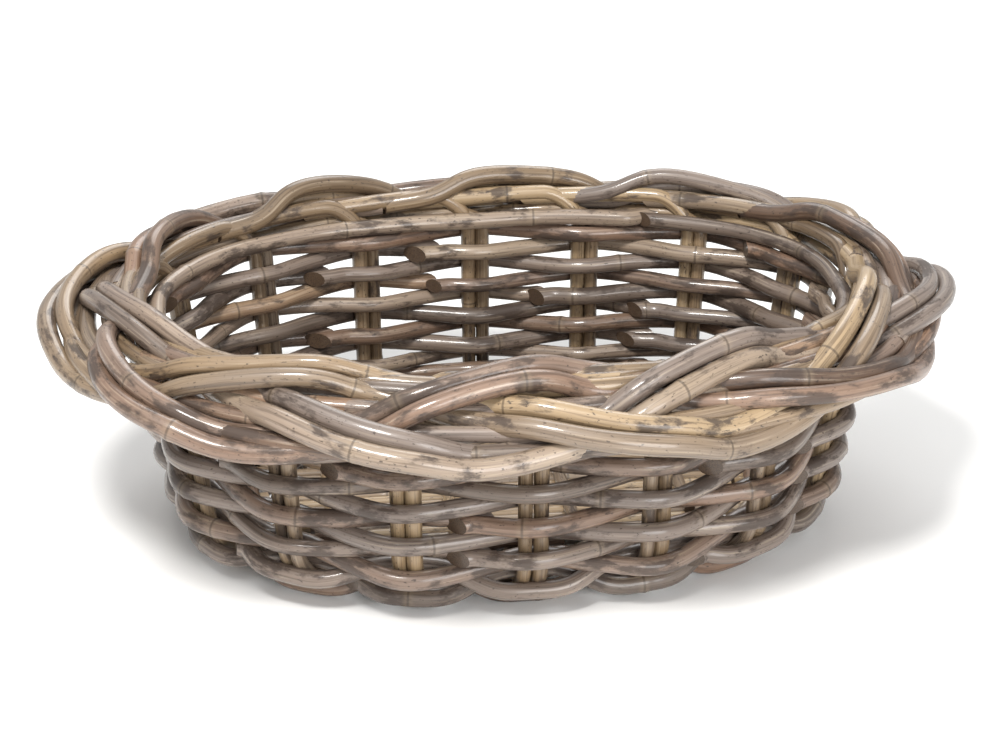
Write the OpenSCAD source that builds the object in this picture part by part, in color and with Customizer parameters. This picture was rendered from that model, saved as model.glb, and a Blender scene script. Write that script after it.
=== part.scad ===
// Oval wicker pet bed basket, woven from round rattan rods.
// A base and a side are woven as one bowl on pairs of bent stakes,
// and a wide three-strand plait of paired rods makes the border.

/* [Oval] */
// Length of the oval that the stake tops stand on
oval_l = 478; // [440:2:520]
// Width of the oval that the stake tops stand on
oval_w = 318; // [280:2:340]
// How full the oval's corners are, where 2 is a plain ellipse
oval_n = 2.3; // [2:0.1:3]

/* [Side] */
// Height of the stake tops, under the border
stake_top_z = 157; // [140:1:190]
// Lean of the side from upright at the two ends, in degrees
lean_end = 10; // [3:0.5:14]
// Lean of the side from upright at the middle of the long sides, in degrees
lean_side = 1; // [0:0.5:10]
// Radius of the bend between base and side
bend_r = 36; // [34:1:50]
// Diameter of a stake
stake_d = 9.5; // [8:0.5:10]
// Diameter of a weaver, over its corners
weaver_d = 10.4; // [9:0.1:11]
// Distance from one row of weaving to the next
row_pitch = 11; // [10.7:0.1:13]

/* [Border] */
// Diameter of a border rod, over its corners
border_d = 12.8; // [10:0.1:14]
// Height of the middle of the plait
border_z = 160; // [150:1:200]
// Distance of the plait's middle outside the stake tops
border_out = 33; // [30:1:45]
// Droop of the plait towards its outer edge, in degrees
border_droop = 33; // [20:1:45]
// Half the width that the strands swing across
plait_swing = 30; // [26:1:38]
// Half the height that the strands rise and fall
plait_lift = 10; // [7:0.5:11]
// Rise of the outer edge at the two ends of the oval
end_rise = 12; // [0:1:16]

/* [Hidden] */
$fn = 48;
pairs = 16;                 // stake pairs around the oval
rod_sides = 6;              // sides of a swept rod
gap = 0.2;                  // clearance between rods that touch
stake_r = stake_d / 2;
weaver_r = weaver_d / 2;
border_r = border_d / 2;
flat_r = weaver_r * cos(180 / rod_sides);      // a swept rod's radius to its flats
weave_swing = stake_r + flat_r + gap;          // how far a row passes in front of a stake
base_z = weave_swing + flat_r;                 // height of the stakes' feet
foot_in = -77.6;            // how far the inner end of a foot is outside the stake tops
lap = 1.5;                  // how far a stake's straights run into its bend
bend_thin = 0.1;            // how much thinner the bend is, so that the straights close over it
first_row = 11;             // distance of the first row from the inner end of a foot
base_rows = 2;
corner_rows = 5;
side_rows = 10;             // the last of these runs inside every stake, under the border
all_rows = base_rows + corner_rows + side_rows;
pair_grip = 2 * stake_r + 0.2;                 // half the width that a row crosses level
butt_gap = 0.5;                                // gap where two rods of a row or plait meet
mat_rods = 15;              // long rods in the mat that fills the middle of the base
mat_pitch = 9.6;
mat_inset = 2.9;            // gap from the mat's edge to the feet
cross_x = [-120, -80, -40, 0, 40, 80, 120];
cross_over = 5;             // how far a cross rod runs out past the mat
cross_r = 4.3;              // a cross rod is thinner, so that it stays off the floor
fan = 0.7;                  // how far the stakes fan out at the ends, where 1 is from the centre
strands = 10;               // strands of the plait, each starting where the third one back ends
strand_start = pairs / strands;                // stake spacings from one strand's start to the next
strand_wave = 3 * strand_start;                // stake spacings in a strand's full swing
strand_steps = 24;          // lengths that a strand's rod is drawn in
pair_gap = 0.8;             // gap between the two rods of a strand
pair_out = border_r * cos(180 / rod_sides) + pair_gap / 2;     // each rod's distance off the middle

wood_grey = [0.56, 0.49, 0.42];
wood_tan = [0.66, 0.56, 0.42];
wood_brown = [0.47, 0.37, 0.28];

function two(i) = i < 10 ? str("0", i) : str(i);

function unit(v) = v / norm(v);
// Point and outward direction of the oval at angle t
function fullness(t) = pow(pow(abs(cos(t)), oval_n) + pow(abs(sin(t)), oval_n), -1 / oval_n);
function oval(t) = [oval_l / 2 * cos(t), oval_w / 2 * sin(t), 0] * fullness(t);
function outward(t) = unit([oval(t)[0] * fan, oval(t)[1], 0]);
function sideways(t) = [-outward(t)[1], outward(t)[0], 0];

// Angle for a distance along the oval, from a table of summed chords
step_deg = 1;
oval_table = [
    for (t = 0, s = 0; t <= 360; s = s + norm(oval(t + step_deg) - oval(t)), t = t + step_deg) [s, t]
];
oval_round = oval_table[len(oval_table) - 1][0];
spacing = oval_round / pairs;
function wrap(u) = u - pairs * floor(u / pairs);
function angle_at(u) = lookup(wrap(u) * spacing, oval_table) + 360 * floor(u / pairs);

// The side's lean goes from lean_side to lean_end round the oval, and the bend meets it.
// bend_h is how far the bend's centre is outside the stake top: less than 0 is inside.
function lean(t) = lean_side + (lean_end - lean_side) * pow(cos(t), 2);
function bend_angle(t) = 90 - lean(t);
function bend_l(t) = bend_r * bend_angle(t) * PI / 180;
function bend_top(t) = base_z + bend_r * (1 - cos(bend_angle(t)));
function side_l(t) = (stake_top_z - bend_top(t)) / cos(lean(t));
function bend_h(t) = -side_l(t) * sin(lean(t)) - bend_r * sin(bend_angle(t));
function foot_l(t) = bend_h(t) - foot_in;
function stake_l(t) = foot_l(t) + bend_l(t) + side_l(t);

// Length up a stake at which row j passes: the rows spread a little where the stakes are longer
function row_q(j, t) = first_row + (j - 1) * row_pitch * (stake_l(t) - first_row) / (stake_l(0) - first_row);

// Profile of the bowl at angle t: distance out and height, at length q from a foot's inner end
function turn(q, t) = max(0, min(bend_angle(t), (q - foot_l(t)) / bend_r * 180 / PI));
function profile(q, t) =
    q < foot_l(t) ? [foot_in + q, base_z] :
    q < foot_l(t) + bend_l(t) ?
        [bend_h(t) + bend_r * sin(turn(q, t)), base_z + bend_r * (1 - cos(turn(q, t)))] :
    let (up = q - foot_l(t) - bend_l(t))
    [bend_h(t) + bend_r * sin(bend_angle(t)) + up * sin(lean(t)), bend_top(t) + up * cos(lean(t))];
function facing(q, t) = outward(t) * sin(turn(q, t)) + [0, 0, -cos(turn(q, t))];
function on_bowl(q, t) = oval(t) + outward(t) * profile(q, t)[0] + [0, 0, profile(q, t)[1]];

// Round rod swept along points, with its flats towards the given directions. runs says which points
// start (1) or end (-1) a level run: their rings are mitred, so that the run's flats stay level.
module rod(points, faces_to, runs, r) {
    n = len(points);
    way = [for (i = [0:n - 1]) unit(points[min(i + 1, n - 1)] - points[max(i - 1, 0)])];
    run = [for (i = [0:n - 1]) runs[i] == 0 ? way[i] : unit((points[i + runs[i]] - points[i]) * runs[i])];
    rings = [for (i = [0:n - 1])
        let (e1 = unit(faces_to[i] - (faces_to[i] * run[i]) * run[i]), e2 = cross(run[i], e1))
        for (k = [0:rod_sides - 1])
            let (a = 360 * (k + 0.5) / rod_sides, out = r * (cos(a) * e1 + sin(a) * e2))
            points[i] + out - run[i] * (out * way[i]) / (run[i] * way[i])];
    walls = [for (i = [0:n - 2], k = [0:rod_sides - 1])
        let (k2 = (k + 1) % rod_sides, a = i * rod_sides, b = a + rod_sides) [a + k, b + k, b + k2, a + k2]];
    start = [[for (k = [0:rod_sides - 1]) k]];
    finish = [[for (k = [rod_sides - 1:-1:0]) (n - 1) * rod_sides + k]];
    polyhedron(rings, concat(start, walls, finish), convexity = 6);
}

// One stake at angle t: a foot in the base, a bend and a straight side, drawn with +X outwards
module stake(t) {
    translate([foot_in, 0, base_z]) rotate([0, 90, 0]) cylinder(r = stake_r, h = foot_l(t) + lap);
    translate([bend_h(t), 0, base_z + bend_r]) rotate([90, 0, 0]) rotate([0, 0, -90])
        rotate_extrude(angle = bend_angle(t)) translate([bend_r, 0]) circle(r = stake_r - bend_thin);
    translate([bend_h(t) + bend_r * sin(bend_angle(t)), 0, bend_top(t)])
        rotate([0, lean(t), 0]) translate([0, 0, -lap]) cylinder(r = stake_r, h = side_l(t) + lap);
}

module stake_pair(i) {
    t = angle_at(i - 1);
    color(i % 2 == 0 ? wood_tan : wood_brown)
        translate(oval(t)) rotate([0, 0, atan2(outward(t)[1], outward(t)[0])])
            for (side = [-1, 1]) translate([0, side * (stake_r + gap / 2), 0]) stake(t);
}

// Start and end of the level run where row j crosses stake pair i
function crossing(j, i) =
    let (t = angle_at(i), q = row_q(j, t),
         swing = (i + j) % 2 == 0 && j < all_rows ? weave_swing : -weave_swing,
         at = on_bowl(q, t) + swing * facing(q, t))
    [at - pair_grip * sideways(t), at + pair_grip * sideways(t)];

// Middle of a row's straight run from pair i to pair i + 1, moved g along it
function seam_point(j, i, g) =
    let (a = crossing(j, i)[1], b = crossing(j, i + 1)[0]) (a + b) / 2 + g * unit(b - a);

// One row of weaving: two rods that each pass half way round. Row j goes outside the even stakes
// when j is even and inside them when it is odd, and the last row goes inside every stake.
module weaver_row(j) {
    half = pairs / 2;
    for (from = [(3 * j) % half, (3 * j) % half + half]) {
        path = [
            [seam_point(j, from, butt_gap), angle_at(from + 0.5), 0],
            for (i = [from + 1:from + half], k = [0:2])
                if (k < 2) [crossing(j, i)[k], angle_at(i), 1 - 2 * k]
                else if (i < from + half)
                    let (t = angle_at(i + 0.5), q = row_q(j, t))
                    [on_bowl(q, t) - (j < all_rows ? 0 : weave_swing) * facing(q, t), t, 0],
            [seam_point(j, from + half, -butt_gap), angle_at(from + half + 0.5), 0]
        ];
        faces_to = [for (p = path) facing(row_q(j, p[1]), p[1])];
        rod([for (p = path) p[0]], faces_to, [for (p = path) p[2]], weaver_r);
    }
}

// Place in the plait at u stake spacings round, swing s across it and lift l above it
function border_point(u, s, l) =
    let (t = angle_at(u), edge = (s + plait_swing) / (2 * plait_swing))
    oval(t) + outward(t) * (border_out + s * cos(border_droop) + l * sin(border_droop))
    + [0, 0, border_z - s * sin(border_droop) + l * cos(border_droop) + end_rise * edge * pow(cos(t), 2)];
function border_up(u) = outward(angle_at(u)) * sin(border_droop) + [0, 0, cos(border_droop)];
function strand_point(m, u) =
    let (a = 360 * (u - m * strand_start) / strand_wave - 45)
    border_point(u, plait_swing * sin(a), plait_lift * max(-1, min(1, 2 * sin(2 * a))));

// One strand of the plait: two rods side by side that swing once across it and back
module border_strand(m) {
    us = [for (k = [0:strand_steps]) m * strand_start + butt_gap / spacing
        + k * (strand_wave - 2 * butt_gap / spacing) / strand_steps];
    mid = [for (u = us) strand_point(m, u)];
    aside = [for (u = us) unit(cross(strand_point(m, u + 0.05) - strand_point(m, u - 0.05), border_up(u)))];
    color(m % 3 == 0 ? wood_grey : m % 3 == 1 ? wood_tan : wood_brown)
        for (side = [-1, 1])
            rod([for (k = [0:strand_steps]) mid[k] + side * pair_out * aside[k]],
                aside, [for (u = us) 0], border_r);
}

// Half the mat's extent along one axis, at distance v from the centre on the other
function mat_half(v, along, across) = along * pow(max(0, 1 - pow(abs(v) / across, oval_n)), 1 / oval_n);
mat_l = oval_l / 2 + foot_in - mat_inset;
mat_w = oval_w / 2 + foot_in - mat_inset;

module base_long_rods() {
    color(wood_tan)
        for (k = [0:mat_rods - 1])
            let (y = (k - (mat_rods - 1) / 2) * mat_pitch, half = mat_half(y, mat_l, mat_w))
                translate([-half, y, base_z]) rotate([0, 90, 0]) cylinder(r = stake_r, h = 2 * half);
}

module base_cross_rods() {
    color(wood_brown)
        for (k = [0:len(cross_x) - 1])
            let (half = mat_half(cross_x[k], mat_w, mat_l) + cross_over)
                translate([cross_x[k], -half, base_z + (k % 2 == 0 ? 1 : -1) * (stake_r + cross_r + gap)])
                    rotate([-90, 0, 0]) cylinder(r = cross_r, h = 2 * half);
}

for (i = [1:pairs]) stake_pair(i);
for (j = [1:base_rows])
    color(wood_grey) weaver_row(j);
for (j = [1:corner_rows])
    color(wood_grey) weaver_row(base_rows + j);
for (j = [1:side_rows])
    color(wood_grey) weaver_row(base_rows + corner_rows + j);
for (m = [1:strands]) border_strand(m);
base_long_rods();
base_cross_rods();
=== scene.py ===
"""Oval wicker pet bed basket, woven from round rattan rods.

The basket is a bowl of paired stakes with single weavers passing in front of
and behind them, closed by a plait of paired rods. Every rod is drawn along a
path in the basket's own frame (metres, +Z up, standing on z = 0), then swept
to a round, slightly uneven rod with bark rings and cut ends.
"""

import logging
import math
from dataclasses import dataclass, field
from enum import Enum

import bpy
import numpy as np
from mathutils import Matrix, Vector


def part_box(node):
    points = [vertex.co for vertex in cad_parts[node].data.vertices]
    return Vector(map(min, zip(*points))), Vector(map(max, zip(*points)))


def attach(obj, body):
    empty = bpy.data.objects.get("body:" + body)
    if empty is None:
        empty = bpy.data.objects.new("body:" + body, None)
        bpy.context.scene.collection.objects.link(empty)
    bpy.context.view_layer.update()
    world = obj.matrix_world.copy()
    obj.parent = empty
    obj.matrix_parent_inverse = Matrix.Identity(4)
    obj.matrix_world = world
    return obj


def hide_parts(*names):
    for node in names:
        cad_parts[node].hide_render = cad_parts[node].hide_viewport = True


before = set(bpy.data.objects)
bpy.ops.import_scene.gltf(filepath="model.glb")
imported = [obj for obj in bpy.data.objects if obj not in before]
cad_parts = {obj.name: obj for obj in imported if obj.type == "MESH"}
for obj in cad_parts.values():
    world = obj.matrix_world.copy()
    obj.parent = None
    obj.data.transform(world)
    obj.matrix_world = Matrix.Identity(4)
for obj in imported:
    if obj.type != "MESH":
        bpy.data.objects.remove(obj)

LOG = logging.getLogger("basket")
MM = 0.001
PAIRS = 16  # stake pairs round the oval
Array = np.ndarray


class Slot(Enum):
    """Material slots that the stored part names."""

    TAN = "rattan_tan"
    GREY = "rattan_grey"
    BROWN = "rattan_brown"


def linear(hex_colour: str) -> tuple[float, float, float, float]:
    """Turns an sRGB hex colour into linear light.

    Args:
        hex_colour: Six hex digits, with or without a leading hash.

    Returns:
        Linear red, green and blue, and an alpha of one.
    """
    digits = hex_colour.lstrip("#")
    parts = [int(digits[i : i + 2], 16) / 255 for i in (0, 2, 4)]
    r, g, b = (c / 12.92 if c <= 0.04045 else ((c + 0.055) / 1.055) ** 2.4 for c in parts)
    return r, g, b, 1.0


def unit(v: Array) -> Array:
    """Scales each row vector to length one.

    Args:
        v: Vectors along the last axis.

    Returns:
        The same directions with length one.
    """
    return v / np.linalg.norm(v, axis=-1, keepdims=True)


def smooth(x: Array) -> Array:
    """Eases from 0 to 1.

    Args:
        x: Values, clamped to 0..1.

    Returns:
        The eased values.
    """
    x = np.clip(x, 0, 1)
    return x * x * (3 - 2 * x)


def wander(rng: np.random.Generator, s: Array, wavelength: float) -> Array:
    """Smooth random drift along a rod.

    Args:
        rng: Seeded generator.
        s: Distances along the rod, in metres.
        wavelength: Shortest wavelength of the drift, in metres.

    Returns:
        Drift of about -1..1 at each distance.
    """
    total = np.zeros_like(s)
    for k in (1.0, 1.7, 2.9):
        total += np.sin(2 * np.pi * s / (wavelength * k) + rng.uniform(0, 2 * np.pi)) * rng.uniform(0.4, 1)
    return total / 1.7


# --------------------------------------------------------------------- form


@dataclass(frozen=True)
class Form:
    """Driving dimensions of the basket, in metres and radians.

    The oval, the height of the stakes and their thickness are read from the
    frame; the rest are the dimensions that the solids were drawn with, except
    that the plait is 2.5 mm further in, because its rods stray.

    Attributes:
        half_l: Half the length of the oval that the stake tops stand on.
        half_w: Half its width.
        top_z: Height of the middle of a stake's top.
        stake_r: Radius of a stake.
        fullness: Exponent of the oval: 2 is an ellipse, more is squarer.
        fan: How far the stakes at the ends fan out, 1 for straight from the middle.
        lean_end: Outward lean of the side at the two ends.
        lean_side: Outward lean at the middle of the long sides.
        bend_r: Radius of the bend from base to side.
        weaver_r: Radius of a weaver, to its corners, in the solids.
        gap: Clearance between rods that lie together.
        foot_in: How far outside the stake tops a foot starts, so negative.
        first_row: Distance of row 1 from the inner end of a foot.
        pitch: Distance from row to row, up a stake at the ends.
        border_z: Height of the plait's middle.
        border_out: How far the plait's middle is outside the stake tops.
        droop: How far the plait's outer edge is turned down.
        swing: How far a strand swings to each side of the plait's middle.
        lift: How far a strand rises and dips as it passes the others.
        end_rise: How much higher the plait's outer edge is at the two ends.
        strands: Number of strands in the plait.
    """

    half_l: float
    half_w: float
    top_z: float
    stake_r: float
    fullness: float = 2.3
    fan: float = 0.7
    lean_end: float = math.radians(10)
    lean_side: float = math.radians(1)
    bend_r: float = 36 * MM
    weaver_r: float = 5.2 * MM
    gap: float = 0.2 * MM
    foot_in: float = -77.6 * MM
    first_row: float = 11 * MM
    pitch: float = 11 * MM
    border_z: float = 160 * MM
    border_out: float = 30.5 * MM
    droop: float = math.radians(33)
    swing: float = 30 * MM
    lift: float = 10 * MM
    end_rise: float = 12 * MM
    strands: int = 10

    @classmethod
    def from_frame(cls) -> "Form":
        """Reads the oval and the stakes from the frame's boxes.

        Returns:
            The form, from the pair at the +X end and the one in the middle of the +Y side.
        """
        end_lo, end_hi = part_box("stake_pair_01")
        _, side_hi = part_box("stake_pair_05")
        r = (end_hi.y - end_lo.y - cls.gap) / 4
        half_l = end_hi.x - r * math.cos(cls.lean_end)
        half_w = side_hi.y - r * math.cos(cls.lean_side)
        return cls(half_l, half_w, end_hi.z - r * math.sin(cls.lean_end), r)


class Bowl:
    """The basket's woven surface, addressed by place round it and distance up it.

    Attributes:
        form: Driving dimensions of the basket.
        weave: Distance between the middle lines of a stake and a weaver that passes it.
        base_z: Height of the middle line of the stakes' feet.
        spacing: Length of the oval from one pair of stakes to the next.
        strand_start: Stake spacings from the start of one strand to the next.
    """

    OVAL_STEPS = 1440

    def __init__(self, form: Form) -> None:
        """Works out the weave's thickness and measures along the oval.

        Args:
            form: Driving dimensions of the basket.
        """
        self.form = form
        # The solid weavers are six-sided and rest on their flats.
        flat = form.weaver_r * math.cos(math.pi / 6)
        self.weave = form.stake_r + flat + form.gap
        self.base_z = self.weave + flat
        self._turn = np.linspace(0, 2 * np.pi, self.OVAL_STEPS + 1)
        steps = np.linalg.norm(np.diff(self._oval(self._turn), axis=0), axis=1)
        self._along = np.concatenate([[0], np.cumsum(steps)])
        self.spacing = self._along[-1] / PAIRS
        self.strand_start = PAIRS / form.strands

    def _oval(self, t: Array) -> Array:
        """Points of the oval that the stake tops stand on.

        Args:
            t: Angles from the +X end, seen from the middle.

        Returns:
            The points, at z = 0.
        """
        f = self.form
        c, s = np.cos(t), np.sin(t)
        full = (np.abs(c) ** f.fullness + np.abs(s) ** f.fullness) ** (-1 / f.fullness)
        return np.stack([f.half_l * c * full, f.half_w * s * full, 0 * t], -1)

    def angle(self, u: Array) -> Array:
        """Angle round the oval at u stake spacings from its +X end."""
        laps = np.floor(u / PAIRS)
        return np.interp((u - laps * PAIRS) * self.spacing, self._along, self._turn) + 2 * np.pi * laps

    def rim(self, u: Array) -> Array:
        """Points of the oval that the stake tops stand on, at z = 0."""
        return self._oval(self.angle(u))

    def outward(self, u: Array) -> Array:
        """Level direction that faces out of the basket."""
        return unit(self.rim(u) * np.array([self.form.fan, 1, 0]))

    def sideways(self, u: Array) -> Array:
        """Level direction that runs round the basket."""
        out = self.outward(u)
        return np.stack([-out[..., 1], out[..., 0], out[..., 2]], -1)

    def profile(self, u: Array) -> tuple[Array, Array, Array, Array]:
        """Side of the bowl at u.

        Args:
            u: Place round the basket, in stake spacings.

        Returns:
            The side's lean, how far the bend's centre is outside the stake
            top, the foot's length and the whole stake's length.
        """
        f = self.form
        lean = f.lean_side + (f.lean_end - f.lean_side) * np.cos(self.angle(u)) ** 2
        bend = math.pi / 2 - lean
        side = (f.top_z - self.base_z - f.bend_r * (1 - np.cos(bend))) / np.cos(lean)
        centre = -side * np.sin(lean) - f.bend_r * np.sin(bend)
        foot = centre - f.foot_in
        return lean, centre, foot, foot + f.bend_r * bend + side

    def row_q(self, row: int, u: Array) -> Array:
        """Distance up the bowl of a row's middle line.

        Args:
            row: Number of the row, counted from one.
            u: Place round the basket, in stake spacings.

        Returns:
            The distance from the inner end of a foot. Rows share out the
            stake's length, so they lie closer where it is shorter.
        """
        f = self.form
        end_length = self.profile(np.array(0.0))[3]
        stretch = (self.profile(u)[3] - f.first_row) / (end_length - f.first_row)
        return f.first_row + (row - 1) * f.pitch * stretch

    def place(self, q: Array, u: Array, w: Array) -> Array:
        """Point of the woven surface.

        Args:
            q: Distance up the bowl from the inner end of a foot.
            u: Place round the basket, in stake spacings.
            w: Distance out of the surface, positive outside and below.

        Returns:
            The points, in the basket's frame.
        """
        f = self.form
        q, u, w = np.broadcast_arrays(np.asarray(q, float), u, w)
        lean, centre, foot, _ = self.profile(u)
        bend = math.pi / 2 - lean
        turn = np.clip((q - foot) / f.bend_r, 0, bend)
        up = np.maximum(q - foot - f.bend_r * bend, 0)
        out = np.minimum(q - foot, 0) + centre + f.bend_r * np.sin(turn) + up * np.sin(lean)
        z = self.base_z + f.bend_r * (1 - np.cos(turn)) + up * np.cos(lean)
        level = self.outward(u) * (out + w * np.sin(turn))[..., None]
        z = z - w * np.cos(turn)
        return self.rim(u) + level + np.stack([0 * z, 0 * z, z], -1)

    def plait(self, u: Array, s: Array, lift: Array) -> Array:
        """Points in the border.

        Args:
            u: Place round the basket, in stake spacings.
            s: Distance across the plait from its middle, positive outwards.
            lift: Distance above the plait's middle surface.

        Returns:
            The points, in the basket's frame.
        """
        f = self.form
        edge = (s + f.swing) / (2 * f.swing)
        out = f.border_out + s * math.cos(f.droop) + lift * math.sin(f.droop)
        rise = f.end_rise * edge * np.cos(self.angle(u)) ** 2
        z = f.border_z - s * math.sin(f.droop) + lift * math.cos(f.droop) + rise
        return self.rim(u) + self.outward(u) * out[..., None] + np.stack([0 * z, 0 * z, z], -1)


# --------------------------------------------------------------------- rods


@dataclass
class Rod:
    """One rattan rod: a path with what is needed to sweep it.

    Attributes:
        points: Path, in metres.
        radius: Radius at each point.
        tone: 0..1, which colour of the batch the rod has.
        first_ring: Distance of the first bark ring from the start.
        ring_gap: Distance between bark rings.
        slant: How steeply the start and the end are cut, 0 for square.
    """

    points: Array
    radius: Array
    tone: float
    first_ring: float
    ring_gap: float
    slant: tuple[float, float] = (0.0, 0.0)


@dataclass(frozen=True)
class Bark:
    """Unevenness that every rod has, in metres unless said otherwise.

    Attributes:
        uneven: Share of the radius that comes and goes along the rod.
        drift: Shortest wavelength of that.
        ring_gap: Least and greatest distance between bark rings.
        first_ring: Least distance of the first ring from the start.
        ring_height: How far a ring stands proud.
        ring_width: Half the width of a ring.
        shoulder: How much thicker the rod is just past a ring, and thinner before it.
        shoulder_run: Distance over which that fades.
        step: Distance between the points of a finished rod.
    """

    uneven: float = 0.035
    drift: float = 0.09
    ring_gap: tuple[float, float] = (0.13, 0.24)
    first_ring: float = 0.02
    ring_height: float = 0.45 * MM
    ring_width: float = 2.2 * MM
    shoulder: float = 0.15 * MM
    shoulder_run: float = 12 * MM
    step: float = 3.6 * MM


def measure(path: Array) -> Array:
    """Distance of each point of a path from its start."""
    return np.concatenate([[0], np.cumsum(np.linalg.norm(np.diff(path, axis=0), axis=1))])


def off_ring(s: Array, first: float, gap: float) -> Array:
    """Signed distance from the nearest bark ring, at distances s along a rod."""
    return (s - first + gap / 2) % gap - gap / 2


def grow(path: Array, radius: float | Array, rng: np.random.Generator, tone: float,
         slant: tuple[float, float]) -> Rod:
    """Makes a rod along a path, with evenly spaced points and natural unevenness.

    Args:
        path: Dense points of the path.
        radius: Radius of the rod, or radii along the path.
        rng: Seeded generator.
        tone: 0..1, which colour of the batch the rod has.
        slant: How steeply the two ends are cut.

    Returns:
        The rod.
    """
    bark = Bark()
    s = measure(path)
    n = max(8, int(s[-1] / bark.step) + 1)
    at = np.linspace(0, s[-1], n)
    points = np.stack([np.interp(at, s, path[:, k]) for k in range(3)], -1)
    r = np.interp(at, s, np.broadcast_to(radius, s.shape)) * (1 + bark.uneven * wander(rng, at, bark.drift))
    gap = rng.uniform(*bark.ring_gap)
    first = rng.uniform(bark.first_ring, gap)
    off = off_ring(at, first, gap)
    ring = bark.ring_height * np.exp(-((off / bark.ring_width) ** 2))
    shoulder = bark.shoulder * np.sign(off) * np.exp(-np.abs(off) / bark.shoulder_run)
    return Rod(points, r + ring + shoulder, tone, first, gap, slant)


class Sweep:
    """Geometry Nodes group that turns drawn paths into round rods.

    Attributes:
        group: The node group.
        sides, depth, seed, finish: Its named inputs.
    """

    SIDES = 14
    BARK_DEPTH = 0.5 * MM
    SHARP_ANGLE = 0.75  # radians; sharper folds, as at a cut end, stay sharp
    END_FADE = (1.0, 0.6, 0.25)  # share of a slanting cut taken by a rod's last three points

    def __init__(self) -> None:
        """Makes the group with its inputs, and its tree from the paths to the finished skin."""
        self.group = bpy.data.node_groups.new("rattan_sweep", "GeometryNodeTree")
        face = self.group.interface
        face.new_socket("Geometry", in_out="INPUT", socket_type="NodeSocketGeometry")
        self.sides = face.new_socket("Sides", in_out="INPUT", socket_type="NodeSocketInt")
        self.depth = face.new_socket("Bark depth", in_out="INPUT", socket_type="NodeSocketFloat")
        self.seed = face.new_socket("Seed", in_out="INPUT", socket_type="NodeSocketFloat")
        self.finish = face.new_socket("Finish", in_out="INPUT", socket_type="NodeSocketMaterial")
        face.new_socket("Geometry", in_out="OUTPUT", socket_type="NodeSocketGeometry")
        given = add(self.group, "NodeGroupInput")
        skin = self._skin(given)
        skin = self._slant_ends(skin)
        skin = self._roughen(skin, given)
        self._close(skin, given)

    def _skin(self, given: bpy.types.Node) -> bpy.types.Node:
        """Sweeps a ring along the drawn paths.

        Args:
            given: The group's input node.

        Returns:
            Node that gives the rods' closed skin.
        """
        t = self.group
        curve = add(t, "GeometryNodeMeshToCurve", Mesh=given.outputs["Geometry"])
        radius = add(t, "GeometryNodeInputNamedAttribute", {"data_type": "FLOAT"}, Name="rod_radius")
        curve = add(t, "GeometryNodeSetCurveRadius", Curve=curve, Radius=radius)
        along = add(t, "GeometryNodeSplineParameter").outputs["Length"]
        curve = add(t, "GeometryNodeStoreNamedAttribute", {"data_type": "FLOAT", "domain": "POINT"},
                    Geometry=curve, Name="rod_along", Value=along)
        ring = add(t, "GeometryNodeCurvePrimitiveCircle", {"mode": "RADIUS"},
                   Resolution=given.outputs["Sides"], Radius=1.0)
        ring = add(t, "GeometryNodeStoreNamedAttribute", {"data_type": "FLOAT_VECTOR", "domain": "POINT"},
                   Geometry=ring, Name="rod_round", Value=add(t, "GeometryNodeInputPosition"))
        skin = add(t, "GeometryNodeCurveToMesh", {},
                   **{"Curve": curve, "Profile Curve": ring, "Fill Caps": True})
        # Where the node has an input for the radius, it doesn't read the curve's own.
        if "Scale" in skin.inputs:
            link(t, radius, skin.inputs["Scale"])
        return skin

    def _slant_ends(self, skin: bpy.types.Node) -> bpy.types.Node:
        """Shears the two ends of each rod to slanting cuts.

        Args:
            skin: Node that gives the skin.

        Returns:
            Node that gives the cut skin.
        """
        t = self.group
        place = add(t, "GeometryNodeInputNamedAttribute", {"data_type": "FLOAT_VECTOR"}, Name="rod_round")
        cut = add(t, "GeometryNodeInputNamedAttribute", {"data_type": "FLOAT_VECTOR"}, Name="rod_cut")
        across = add(t, "ShaderNodeSeparateXYZ", Vector=place)
        shear = add(t, "ShaderNodeVectorMath", {"operation": "SCALE"}, Vector=cut, Scale=across.outputs["X"])
        return add(t, "GeometryNodeSetPosition", Geometry=skin, Offset=shear)

    def _roughen(self, skin: bpy.types.Node, given: bpy.types.Node) -> bpy.types.Node:
        """Raises and sinks the bark in long uneven streaks.

        Args:
            skin: Node that gives the skin.
            given: The group's input node.

        Returns:
            Node that gives the rough skin.
        """
        t = self.group
        along = add(t, "GeometryNodeInputNamedAttribute", {"data_type": "FLOAT"}, Name="rod_along")
        tone = add(t, "GeometryNodeInputNamedAttribute", {"data_type": "FLOAT"}, Name="rod_tone")
        place = add(t, "GeometryNodeInputNamedAttribute", {"data_type": "FLOAT_VECTOR"}, Name="rod_round")
        # A streak is about 30 mm long; the tone sets rods of one piece apart.
        grain = add(t, "ShaderNodeCombineXYZ", X=along, Z=tone)
        grain = add(t, "ShaderNodeVectorMath", {"operation": "MULTIPLY"}, Vector=grain,
                    Vector_001=(26.0, 1.0, 40.0))
        grain = add(t, "ShaderNodeVectorMath", {"operation": "ADD"}, Vector=grain, Vector_001=place)
        noise = add(t, "ShaderNodeTexNoise", {"noise_dimensions": "4D"}, Vector=grain,
                    W=given.outputs["Seed"], Scale=1.3, Detail=3.0)
        level = add(t, "ShaderNodeMath", {"operation": "SUBTRACT"}, Value=noise, Value_001=0.5)
        level = add(t, "ShaderNodeMath", {"operation": "MULTIPLY"}, Value=level,
                    Value_001=given.outputs["Bark depth"])
        push = add(t, "ShaderNodeVectorMath", {"operation": "SCALE"},
                   Vector=add(t, "GeometryNodeInputNormal"), Scale=level)
        return add(t, "GeometryNodeSetPosition", Geometry=skin, Offset=push)

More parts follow.
